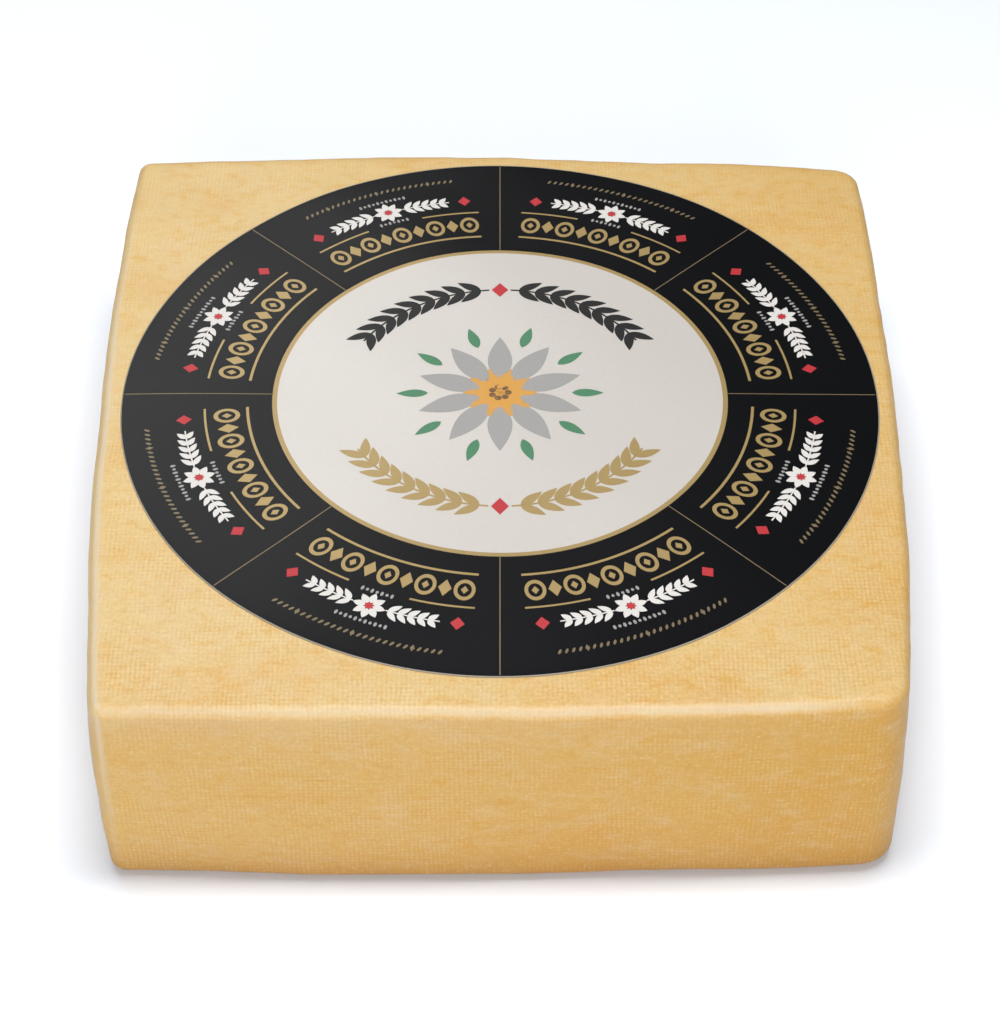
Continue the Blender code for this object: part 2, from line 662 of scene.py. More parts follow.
@dataclass(frozen=True)
class TopSurface:
    """The domed, slightly uneven top of the block, around the label's centre."""

    centre: tuple[float, float]
    height: float = 0.0812
    dome: float = 0.0009
    dome_radius: float = 0.140
    waves: tuple[Wave, ...] = (
        Wave(0.00022, 0.190, 0.260, 0.4),
        Wave(0.00016, -0.110, 0.170, 1.9),
        Wave(0.00010, 0.085, 0.074, 3.1),
    )

    def relief(self, x: Points, y: Points) -> Points:
        """Height over the nominal plane at places seen from the label's centre.

        Args:
            x: Positions along X from the label's centre.
            y: Positions along Y from the label's centre.

        Returns:
            The height at each place.
        """
        dome = self.dome * (1 - (x**2 + y**2) / self.dome_radius**2)
        return dome + swell(x, y, self.waves)

    def lay(self, x: Points, y: Points, lift: float) -> Points:
        """Put flat points on the top surface.

        Args:
            x: Positions along X from the label's centre.
            y: Positions along Y from the label's centre.
            lift: How far over the cheese they lie.

        Returns:
            One row of world X, Y and Z for each point.
        """
        height = self.height + self.relief(x, y) + lift
        return np.stack([x + self.centre[0], y + self.centre[1], height], axis=-1)


@dataclass
class CheeseBlock:
    """The cheese: a bowed four-sided plan, bellied walls, rounded edges and a domed top."""

    top: TopSurface
    label_radius: float
    corners: tuple[Corner, ...] = (
        Corner(-0.1256, -0.1433, 0.0062),
        Corner(0.1255, -0.1405, 0.0118),
        Corner(0.1344, 0.1312, 0.0108),
        Corner(-0.1367, 0.1358, 0.0062),
    )
    sides: tuple[Side, ...] = (
        Side(bow=0.0029, belly=0.0026, lean=0.0),
        Side(bow=0.0056, belly=0.0006, lean=0.0010),
        Side(bow=0.0050, belly=0.0030, lean=0.0),
        Side(bow=0.0066, belly=0.0019, lean=0.0004),
    )
    wall_waves: tuple[Wave, ...] = (
        Wave(0.00030, 0.150, 0.210, 0.9),
        Wave(0.00020, 0.072, -0.088, 2.6),
    )
    top_fillet: float = 0.0036
    base_fillet: float = 0.0052
    dent_depth: float = 0.00008
    dent_length: float = 0.017
    dent_count: int = 26
    dent_seed: int = 7
    side_steps: int = 124
    corner_steps: int = 15
    fillet_steps: int = 8
    wall_steps: int = 44
    top_rings: int = 58
    base_rings: int = 9
    label_margin: float = 0.006
    # How far the foot and side rims reach; the foot is partly painted shade, the right and back rims are
    # painted shade.
    base_tint_height: float = 0.0105
    left_tint_width: float = 0.006
    right_tint_width: float = 0.0018
    back_tint_width: float = 0.0040
    flaky_places: tuple[tuple[float, float, float, float, float], ...] = (
        (0.1265, 0.0900, 0.0812, 0.0120, 1.0),
        (0.1325, 0.0690, 0.0812, 0.0090, 0.8),
        (0.1210, -0.0760, 0.0812, 0.0080, 0.9),
        (0.1220, -0.0930, 0.0812, 0.0060, 0.6),
        (0.1180, -0.1390, 0.0500, 0.0140, 0.6),
        (0.1200, -0.1390, 0.0300, 0.0090, 0.5),
        (-0.1143, -0.1390, 0.0711, 0.0040, 0.6),
        (-0.1257, 0.1232, 0.0812, 0.0050, 0.5),
    )

    def _side_points(self, index: int) -> Points:
        """Points along one bowed side, between the roundings of its two corners."""
        start, end = self.corners[index], self.corners[(index + 1) % len(self.corners)]
        run = np.array([end.x - start.x, end.y - start.y])
        length = float(np.hypot(*run))
        outward = np.array([run[1], -run[0]]) / length
        along = np.linspace(start.radius / length, 1 - end.radius / length, self.side_steps + 1)
        bow = self.sides[index].bow * 4 * along * (1 - along)
        return np.array([start.x, start.y]) + along[:, None] * run + bow[:, None] * outward

    def _corner_points(self, before: Points, after: Points) -> Points:
        """Points strictly between the end of one side and the start of the next."""
        entry, leave = before[-1], after[0]
        reach = 0.56 * np.hypot(*(leave - entry)) / 2**0.5
        run_in = (before[-1] - before[-2]) / np.hypot(*(before[-1] - before[-2]))
        run_out = (after[1] - after[0]) / np.hypot(*(after[1] - after[0]))
        hold_in, hold_out = entry + run_in * reach, leave - run_out * reach
        t = np.linspace(0, 1, self.corner_steps)[1:-1, None]
        return (
            (1 - t) ** 3 * entry
            + 3 * (1 - t) ** 2 * t * hold_in
            + 3 * (1 - t) * t**2 * hold_out
            + t**3 * leave
        )

    def _outline(self) -> tuple[Points, Points]:
        """The widest plan as a closed loop of points, and the outward direction at each."""
        sides = [self._side_points(index) for index in range(len(self.corners))]
        pieces = []
        for index, side in enumerate(sides):
            pieces += [side, self._corner_points(side, sides[(index + 1) % len(sides)])]
        outline = np.concatenate(pieces)
        run = np.roll(outline, -1, axis=0) - np.roll(outline, 1, axis=0)
        normals = np.stack([run[:, 1], -run[:, 0]], axis=1)
        return outline, normals / np.hypot(normals[:, 0], normals[:, 1])[:, None]

    def _wall_inset(self, outline: Points, normals: Points, height: float) -> Points:
        """How far the wall stands in from the widest plan, all round, at one height."""
        facing = (-normals[:, 1], normals[:, 0], normals[:, 1], -normals[:, 0])
        weights = [np.clip(share, 0, 1) ** 2 for share in facing]
        belly = sum(weight * side.belly for weight, side in zip(weights, self.sides))
        lean = sum(weight * side.lean for weight, side in zip(weights, self.sides))
        rise = 2 * height / self.top.height - 1
        waves = swell(outline[:, 0] + height, outline[:, 1], self.wall_waves)
        return belly * rise**2 + lean * rise - waves

    def _profile(self) -> list[tuple[float, float]]:
        """Pairs of fillet inset and nominal height, from the base's flat edge to the top's."""
        angles = np.linspace(0, pi / 2, self.fillet_steps + 1)
        low, high = self.base_fillet, self.top_fillet
        profile = [(low * (1 - sin(a)), low * (1 - cos(a))) for a in angles]
        wall = np.linspace(low, self.top.height - high, self.wall_steps + 1)[1:-1]
        profile += [(0.0, float(height)) for height in wall]
        profile += [(high * (1 - cos(a)), self.top.height - high * (1 - sin(a))) for a in angles]
        return profile

    def _ring(self, plan: Points, height: float) -> Points:
        """One loop of the skin; the top's relief fades out towards the base."""
        fade = (height / self.top.height) ** 2
        relief = self.top.relief(plan[:, 0], plan[:, 1])
        return np.column_stack([plan, height + fade * relief])

    def _dents(self, skin: Points) -> Points:
        """Shallow lumps and dents at each point of the skin, from seeded waves in all directions."""
        rng = np.random.default_rng(self.dent_seed)
        directions = rng.normal(size=(self.dent_count, 3))
        directions /= np.linalg.norm(directions, axis=1)[:, None]
        lengths = self.dent_length * rng.uniform(0.6, 2.4, self.dent_count)
        phases = rng.uniform(0, 2 * pi, self.dent_count)
        turns = 2 * pi * (skin @ (directions / lengths[:, None]).T) + phases
        return self.dent_depth * np.sin(turns).sum(axis=1) / (self.dent_count / 2) ** 0.5

    def build(self, rind: bpy.types.Material) -> bpy.types.Object:
        """Build the rind as one dense closed skin with its cloth map and tint attributes.

        Args:
            rind: The rind's material.

        Returns:
            The rind.
        """
        outline, normals = self._outline()
        rings = []
        for fillet, height in self._profile():
            inset = fillet + self._wall_inset(outline, normals, height)
            rings.append(self._ring(outline - normals * inset[:, None], height))
        rim, foot = rings[-1][:, :2], rings[0][:, :2]
        for share in np.linspace(1, 0, self.top_rings + 1)[1:-1]:
            rings.append(self._ring(rim * share, self.top.height))
        under = [self._ring(foot * s, 0.0) for s in np.linspace(0, 1, self.base_rings + 1)[1:-1]]
        rings = under + rings
        spokes = len(outline)
        skin = np.concatenate(rings)
        faces = ring_faces(len(rings), spokes)
        last = (len(rings) - 1) * spokes
        tip, pit = len(skin), len(skin) + 1
        for spoke in range(spokes):
            after = (spoke + 1) % spokes
            faces.append((last + spoke, last + after, tip))
            faces.append((after, spoke, pit))
        middle = self._ring(np.zeros((1, 2)), self.top.height)
        skin = np.concatenate([skin, middle, np.zeros((1, 3))])
        skin[:, :2] += self.top.centre
        obj = mesh_object("rind", skin, faces, [rind])
        self._press_dents(obj)
        self._map_cloth(obj)
        self._tint(obj)
        return obj

    def _press_dents(self, obj: bpy.types.Object) -> None:
        """Move the skin along its normals by the dents; the base's flat stays flat."""
        mesh = obj.data
        count = len(mesh.vertices)
        skin, normals = np.empty(count * 3), np.empty(count * 3)
        mesh.vertices.foreach_get("co", skin)
        mesh.vertices.foreach_get("normal", normals)
        skin, normals = skin.reshape(-1, 3), normals.reshape(-1, 3)
        off_base = np.clip(skin[:, 2] / self.base_fillet, 0, 1)
        from_label = np.hypot(*(skin[:, :2] - self.top.centre).T) - self.label_radius
        beside = np.clip(from_label / self.label_margin, 0, 1)
        free = off_base * np.where(skin[:, 2] > self.top.height - self.top_fillet, beside, 1)
        skin += normals * (free * self._dents(skin))[:, None]
        mesh.vertices.foreach_set("co", skin.ravel())
        mesh.update()

    def _map_cloth(self, obj: bpy.types.Object) -> None:
        """Map the cloth in metres: ribs run front to back on the top and upright on the walls."""
        mesh = obj.data
        layer = mesh.uv_layers.new(name="cloth")
        loops = np.empty(len(mesh.loops), np.int32)
        mesh.loops.foreach_get("vertex_index", loops)
        skin = np.empty(len(mesh.vertices) * 3)
        mesh.vertices.foreach_get("co", skin)
        place = skin.reshape(-1, 3)[loops]
        facing, totals = np.empty(len(mesh.polygons) * 3), np.empty(len(mesh.polygons), np.int32)
        mesh.polygons.foreach_get("normal", facing)
        mesh.polygons.foreach_get("loop_total", totals)
        facing = np.repeat(np.abs(facing.reshape(-1, 3)), totals, axis=0)
        on_wall = facing[:, 2] < 0.7
        on_flank = on_wall & (facing[:, 0] > facing[:, 1])
        across = np.where(on_flank, place[:, 1], place[:, 0])
        along = np.where(on_wall, place[:, 2] - self.top.height, place[:, 1])
        layer.data.foreach_set("uv", np.stack([across, along], axis=1).ravel())

    def _from_side(self, x: Points, y: Points, axis: int, way: int) -> Points:
        """How far places lie inside one side of the plan.

        Args:
            x: Positions along X.
            y: Positions along Y.
            axis: 0 for the left or right side, 1 for the front or back.
            way: -1 for the left or front, 1 for the right or back.

        Returns:
            The distance along that axis, and 0 outside.
        """
        outline, normals = self._outline()
        side = outline[way * normals[:, axis] > 0.6] + self.top.centre
        side = side[np.argsort(side[:, 1 - axis])]
        here, there = (x, y) if axis == 0 else (y, x)
        return np.clip(way * (np.interp(there, side[:, 1 - axis], side[:, axis]) - here), 0, None)

    def _tint(self, obj: bpy.types.Object) -> None:
        """Store where the walls, the base and the block's edges are, for the rind's colours."""
        mesh = obj.data
        skin, normals = np.empty(len(mesh.vertices) * 3), np.empty(len(mesh.vertices) * 3)
        mesh.vertices.foreach_get("co", skin)
        mesh.vertices.foreach_get("normal", normals)
        x, y, z = skin.reshape(-1, 3).T
        across, along, up = normals.reshape(-1, 3).T
        wall = np.clip(1.25 - up * 1.35, 0, 1)
        to_front = np.clip((0.5 - y / np.ptp(y)), 0, 1)
        to_right = np.clip((0.5 + x / np.ptp(x)), 0, 1)
        high = np.clip(z / self.top.height, 0, 1)
        shoulder = high > 0.9
        # Painted highlight along the top front edge, fading near the right corner.
        front_edge = np.exp(-(((up - 0.78) / 0.22) ** 2)) * np.clip(-2.2 * along, 0, 1) * shoulder
        front_edge *= np.clip((0.118 - x) / 0.03, 0.15, 1)
        # Painted light on the upper front wall, stronger to the left, and on the upper front of the left
        # wall.
        brow = np.clip(-along, 0, 1) * (1.1 - to_right) + 2.3 * np.clip(-across, 0, 1) * to_front
        brow *= np.exp(-(1 - high) / 0.09) * wall
        # Painted highlight along the left top edge, used on its front half.
        left_edge = np.exp(-(((up - 0.93) / 0.14) ** 2)) * np.clip(-4.0 * across, 0, 1) * shoulder
        # Painted highlight on the upright front left corner, stronger higher up.
        upright = np.exp(-(((across + 0.36) / 0.16) ** 2)) * (along < 0) * wall
        # All painted highlights and painted light together, mixed in the pale highlight colour.
        painted_highlight = np.maximum((0.40 + 0.30 * to_right) * front_edge, 0.42 * brow)
        painted_highlight = np.maximum(painted_highlight, 0.90 * left_edge * np.clip(2.5 * to_front, 0, 1))
        painted_highlight = np.maximum(painted_highlight, 0.90 * upright * high**1.5 * (high < 0.99))
        # Nearness to the left, right and back sides: the left sets a yellow rim, the right and back set
        # painted shade.
        left_rim = np.exp(-self._from_side(x, y, 0, -1) / self.left_tint_width)
        right_rim = np.exp(-self._from_side(x, y, 0, 1) / self.right_tint_width)
        back_rim = np.exp(-self._from_side(x, y, 1, 1) / self.back_tint_width)
        # Darker towards the base: partly the rind's own colour, partly painted shade.
        foot = np.exp(-np.clip(z, 0, None) / self.base_tint_height)
        # Painted shade on the flanks, strongest where they face sideways.
        flank = 0.22 * across**4 * wall * np.clip((1.05 - high) / 0.2, 0, 1)
        tints = {
            "wall": wall,
            # Painted shade along the right top edge and on the flanks, together with the darker foot.
            "base": np.maximum(0.85 * foot * wall, 0.14 * right_rim * (1 - wall) + flank),
            "left_edge": 0.30 * left_rim * (1 - 0.6 * wall),
            # Deeper orange towards the right, partly colour and partly painted shade, and painted shade
            # along the back edge.
            "ripe_and_shade": (0.26 + 0.38 * wall) * to_right**2 + (0.50 + 0.45 * to_right) * back_rim,
            "painted_highlight_edge": painted_highlight,
            "cloth_strength": (0.55 + 0.55 * to_front) * (1 - (0.35 + 0.5 * across**2) * wall),
            "flaky": sum(
                share * np.exp(-(((x - a) ** 2 + (y - b) ** 2 + (z - c) ** 2) / reach**2))
                for a, b, c, reach, share in self.flaky_places
            ),
        }
        for name, values in tints.items():
            attribute = mesh.attributes.new(name, "FLOAT", "POINT")
            attribute.data.foreach_set("value", values.astype(np.float32))


@dataclass
class RindFlecks:
    """Tiny pale flakes of dry rind where the skin's "flaky" attribute is above nought."""

    density: float = 220000.0
    size: float = 0.28 * MILLIMETRE
    seed: int = 11

    def _scatter_tree(self) -> tuple[bpy.types.NodeTree, dict[str, str]]:
        """Build the tree that scatters flattened flakes over a skin.

        Returns:
            The tree, and the identifier of each named input.
        """
        tree = bpy.data.node_groups.new("fleck_scatter", "GeometryNodeTree")
        sides = (
            ("Skin", "INPUT", "NodeSocketGeometry"),
            ("Density", "INPUT", "NodeSocketFloat"),
            ("Size", "INPUT", "NodeSocketFloat"),
            ("Seed", "INPUT", "NodeSocketInt"),
            ("Flake", "INPUT", "NodeSocketMaterial"),
            ("Flecks", "OUTPUT", "NodeSocketGeometry"),
        )
        sockets = {
            name: tree.interface.new_socket(name, in_out=way, socket_type=kind).identifier
            for name, way, kind in sides
        }
        given = add_node(tree, "NodeGroupInput").outputs
        flaky = add_node(tree, "GeometryNodeInputNamedAttribute", {"Name": "flaky"})
        share = add_node(
            tree, "ShaderNodeMath", {0: flaky.outputs[0], 1: given["Density"]}, operation="MULTIPLY"
        )
        points = add_node(
            tree,
            "GeometryNodeDistributePointsOnFaces",
            {"Mesh": given["Skin"], "Density": share.outputs[0], "Seed": given["Seed"]},
        )
        grain = add_node(tree, "GeometryNodeMeshIcoSphere", {"Radius": 1.0, "Subdivisions": 2})
        stretch = add_node(
            tree,
            "FunctionNodeRandomValue",
            {0: (0.35, 0.35, 0.12), 1: (1.6, 0.9, 0.30), "Seed": given["Seed"]},
            data_type="FLOAT_VECTOR",
        )
        scale = add_node(
            tree,
            "ShaderNodeVectorMath",
            {0: stretch.outputs[0], "Scale": given["Size"]},
            operation="SCALE",
        )
        copies = add_node(
            tree,
            "GeometryNodeInstanceOnPoints",
            {
                "Points": points.outputs["Points"],
                "Instance": grain.outputs[0],
                "Rotation": points.outputs["Rotation"],
                "Scale": scale.outputs[0],
            },
        )
        real = add_node(tree, "GeometryNodeRealizeInstances", {0: copies.outputs[0]})
        coated = add_node(
            tree,
            "GeometryNodeSetMaterial",
            {"Geometry": real.outputs[0], "Material": given["Flake"]},
        )
        add_node(tree, "NodeGroupOutput", {"Flecks": coated.outputs[0]})
        return tree, sockets

    def build(self, skin: bpy.types.Object, flake: bpy.types.Material) -> bpy.types.Object:
        """Scatter the flakes and turn them into a plain mesh.

        Args:
            skin: The rind, with its "flaky" attribute.
            flake: The flakes' material.

        Returns:
            The flakes as one piece.
        """
        source = skin.data.copy()
        flecks = bpy.data.objects.new("rind_flecks", source)
        bpy.context.scene.collection.objects.link(flecks)
        modifier = flecks.modifiers.new("fleck_scatter", "NODES")
        tree, sockets = self._scatter_tree()
        modifier.node_group = tree
        modifier[sockets["Density"]] = self.density
        modifier[sockets["Size"]] = self.size
        modifier[sockets["Seed"]] = self.seed
        modifier[sockets["Flake"]] = flake
        graph = bpy.context.evaluated_depsgraph_get()
        scattered = bpy.data.meshes.new_from_object(flecks.evaluated_get(graph), depsgraph=graph)
        flecks.modifiers.remove(modifier)
        flecks.data = scattered
        bpy.data.meshes.remove(source)
        return flecks


def ellipse(wide: float, tall: float, steps: int = 20) -> list[tuple[float, float]]:
    """An ellipse around the origin, from its two half axes."""
    return [
        (wide * cos(2 * pi * s / steps), tall * sin(2 * pi * s / steps)) for s in range(steps)
    ]


def leaf(length: float, width: float, steps: int = 8) -> list[tuple[float, float]]:
    """A pointed leaf from the origin along +X.

    Args:
        length: Stem to tip.
        width: The full width, nearer the stem than the tip.
        steps: Points along each edge.

    Returns:
        The outline, counter-clockwise.
    """
    shares = [s / steps for s in range(steps + 1)]
    edge = [(length * s, width / 2 * sin(pi * s**0.8) ** 0.9) for s in shares[1:-1]]
    lower = [(0.0, 0.0)] + [(x, -y) for x, y in edge]
    return lower + [(length, 0.0)] + edge[::-1]


def lozenge(wide: float, tall: float) -> list[tuple[float, float]]:
    """A lozenge around the origin, from its full width and height."""
    return [(wide / 2, 0), (0, tall / 2), (-wide / 2, 0), (0, -tall / 2)]


def arc_strip(
    radius: float, thickness: float, start: float, end: float, step: float = 0.03
) -> list[list[tuple[float, float]]]:
    """A thin band along an arc around the origin, as short quads.

    Args:
        radius: Middle of the band.
        thickness: Width of the band.
        start: First angle in radians, counter-clockwise from +X.
        end: Last angle in radians.
        step: Largest angle that one quad spans.

    Returns:
        The quads.
    """
    count = max(1, int(np.ceil(abs(end - start) / step)))
    angles = np.linspace(start, end, count + 1)
    inner, outer = radius - thickness / 2, radius + thickness / 2
    return [
        [
            (inner * cos(a), inner * sin(a)),
            (outer * cos(a), outer * sin(a)),
            (outer * cos(b), outer * sin(b)),
            (inner * cos(b), inner * sin(b)),
        ]
        for a, b in zip(angles, angles[1:])
    ]


def hollow(shape: Polygon, share: float) -> list[list[tuple[float, float]]]:
    """The border of a convex shape around the origin, as quads.

    Args:
        shape: The outer outline.
        share: The inner outline's size as a share of the outer one's.

    Returns:
        The quads.
    """
    quads = []
    for (ax, ay), (bx, by) in zip(shape, list(shape[1:]) + [shape[0]]):
        quads.append([(ax, ay), (bx, by), (bx * share, by * share), (ax * share, ay * share)])
    return quads


def placed(shape: Polygon, x: float, y: float, turn: float = 0.0) -> list[tuple[float, float]]:
    """A shape turned about its origin and then moved.

    Args:
        shape: The outline.
        x: Move along X.
        y: Move along Y.
        turn: Counter-clockwise angle in radians.

    Returns:
        The new outline.
    """
    c, s = cos(turn), sin(turn)
    return [(px * c - py * s + x, px * s + py * c + y) for px, py in shape]


@dataclass
class Motif:
    """Flat printed shapes of one ink, in units of the label's radius."""

    ink: Ink
    shapes: list[Polygon] = field(default_factory=list)

    def add(self, *shapes: Polygon) -> None:
        """Add outlines to the motif."""
        self.shapes.extend(shapes)

    def mesh(self, name: str, scale: float) -> bpy.types.Object:
        """Turn the outlines into a flat mesh.

        Args:
            name: The object's name.
            scale: The label's radius in metres.

        Returns:
            The flat object, at the origin.
        """
        vertices: list[tuple[float, float, float]] = []
        faces = []
        for shape in self.shapes:
            area = sum(
                ax * by - bx * ay
                for (ax, ay), (bx, by) in zip(shape, list(shape[1:]) + [shape[0]])
            )
            ring = shape if area > 0 else list(reversed(shape))
            faces.append(tuple(range(len(vertices), len(vertices) + len(ring))))
            vertices += [(x * scale, y * scale, 0.0) for x, y in ring]
        return mesh_object(name, vertices, faces, [], smooth=False)


class RoundRepeat:
    """A Geometry Nodes tree that repeats a flat motif at even angles on a circle."""

    def __init__(self) -> None:
        """Build the tree, with its count, radius, first angle and ink as named inputs."""
        tree = bpy.data.node_groups.new("round_repeat", "GeometryNodeTree")
        sides = (
            ("Motif", "INPUT", "NodeSocketGeometry"),
            ("Count", "INPUT", "NodeSocketInt"),
            ("Radius", "INPUT", "NodeSocketFloat"),
            ("First Angle", "INPUT", "NodeSocketFloat"),
            ("Ink", "INPUT", "NodeSocketMaterial"),
            ("Print", "OUTPUT", "NodeSocketGeometry"),
        )
        self.sockets = {
            name: tree.interface.new_socket(name, in_out=way, socket_type=kind).identifier
            for name, way, kind in sides
        }
        given = add_node(tree, "NodeGroupInput").outputs
        index = add_node(tree, "GeometryNodeInputIndex")
        step = add_node(
            tree, "ShaderNodeMath", {0: 2 * pi, 1: given["Count"]}, operation="DIVIDE"
        )
        angle = add_node(
            tree,
            "ShaderNodeMath",
            {0: index.outputs[0], 1: step.outputs[0], 2: given["First Angle"]},
            operation="MULTIPLY_ADD",
        )
        cosine = add_node(tree, "ShaderNodeMath", {0: angle.outputs[0]}, operation="COSINE")
        sine = add_node(tree, "ShaderNodeMath", {0: angle.outputs[0]}, operation="SINE")
        heading = add_node(
            tree, "ShaderNodeCombineXYZ", {"X": cosine.outputs[0], "Y": sine.outputs[0]}
        )
        position = add_node(
            tree,
            "ShaderNodeVectorMath",
            {0: heading.outputs[0], "Scale": given["Radius"]},
            operation="SCALE",
        )
        points = add_node(
            tree,
            "GeometryNodePoints",
            {"Count": given["Count"], "Position": position.outputs[0]},
        )
        upright = add_node(
            tree, "ShaderNodeMath", {0: angle.outputs[0], 1: pi / 2}, operation="SUBTRACT"
        )
        euler = add_node(tree, "ShaderNodeCombineXYZ", {"Z": upright.outputs[0]})
        turn = add_node(tree, "FunctionNodeEulerToRotation", {0: euler.outputs[0]})
        copies = add_node(
            tree,
            "GeometryNodeInstanceOnPoints",
            {
                "Points": points.outputs[0],
                "Instance": given["Motif"],
                "Rotation": turn.outputs[0],
            },
        )
        real = add_node(tree, "GeometryNodeRealizeInstances", {0: copies.outputs[0]})
        inked = add_node(
            tree,
            "GeometryNodeSetMaterial",
            {"Geometry": real.outputs[0], "Material": given["Ink"]},
        )
        add_node(tree, "NodeGroupOutput", {"Print": inked.outputs[0]})
        self.tree = tree

    def apply(
        self,
        motif: bpy.types.Object,
        count: int,
        radius: float,
        first_angle: float,
        ink: bpy.types.Material,
    ) -> bpy.types.Object:
        """Repeat a motif and turn the result into a plain mesh.

        Args:
            motif: The flat motif, its own up direction pointing outwards once it is placed.
            count: How many copies.
            radius: The circle's radius in metres.
            first_angle: Where the first copy stands, in radians from +X.
            ink: The material of all copies.

        Returns:
            The same object with the repeated mesh and no modifier.
        """
        modifier = motif.modifiers.new("round_repeat", "NODES")
        modifier.node_group = self.tree
        modifier[self.sockets["Count"]] = count
        modifier[self.sockets["Radius"]] = radius
        modifier[self.sockets["First Angle"]] = first_angle
        modifier[self.sockets["Ink"]] = ink
        graph = bpy.context.evaluated_depsgraph_get()
        repeated = bpy.data.meshes.new_from_object(motif.evaluated_get(graph), depsgraph=graph)
        motif.modifiers.remove(modifier)
        motif.data = repeated
        return motif


@dataclass
class PaperLabel:
    """The round paper label: a black printed ring, a gold ring and a plain white middle."""

    top: TopSurface
    radius: float
    underside: float = 0.05 * MILLIMETRE
    face: float = 0.45 * MILLIMETRE
    gold_inner: float = 0.589
    gold_outer: float = 0.602
    trim: float = 0.9972
    under_rings: int = 24
    white_rings: int = 30
    black_rings: int = 24
    spokes: int = 360

    def build(self) -> bpy.types.Object:
        """Build the paper disc with its fields of colour.

        Returns:
            The label.
        """
        white = PrintedPaper("white_label_paper", "b7b2ac", 0.38, specular=1.0).build()
        gold = INK_FINISHES[Ink.GOLD].build()
        black = PrintedPaper("black_label_ink", "07080b", 0.35, specular=0.14, tone=0.12).build()
        edge = PrintedPaper("cut_paper_edge", "8f887c", 0.7).build()
        under_shares = np.linspace(0, 1, self.under_rings + 1)[1:]
        white_shares = np.linspace(0, self.gold_inner, self.white_rings + 1)[1:]
        gold_shares = np.linspace(self.gold_inner, self.gold_outer, 3)[1:]
        black_shares = np.linspace(self.gold_outer, self.trim, self.black_rings + 1)[1:]
        face_shares = [*black_shares[::-1], *gold_shares[::-1], *white_shares[::-1]]
        shares = [*under_shares, 1.0, *face_shares]
        lifts = [self.underside] * self.under_rings + [self.face - 0.00003]
        lifts += [self.face] * len(face_shares)
        slots_by_ring = [3] * (self.under_rings + 1) + [2] * self.black_rings
        slots_by_ring += [1, 1] + [0] * (self.white_rings - 1)
        angles = np.linspace(0, 2 * pi, self.spokes, endpoint=False)
        flat = np.stack([np.cos(angles), np.sin(angles)], axis=1) * self.radius
        rings = [
            self.top.lay(flat[:, 0] * share, flat[:, 1] * share, lift)
            for share, lift in zip(shares, lifts)
        ]
        zero = np.zeros(1)
        tip = self.top.lay(zero, zero, self.face)
        pit = self.top.lay(zero, zero, self.underside)
        count = len(rings)
        faces: list[tuple[int, ...]] = list(ring_faces(count, self.spokes))
        slots = list(np.repeat(slots_by_ring[: count - 1], self.spokes))
        last, middle = (count - 1) * self.spokes, count * self.spokes
        for spoke in range(self.spokes):
            after = (spoke + 1) % self.spokes
            faces += [(last + spoke, last + after, middle), (after, spoke, middle + 1)]
            slots += [0, 3]
        return mesh_object(
            "label_paper", np.concatenate([*rings, tip, pit]), faces, [white, gold, black, edge], slots
        )


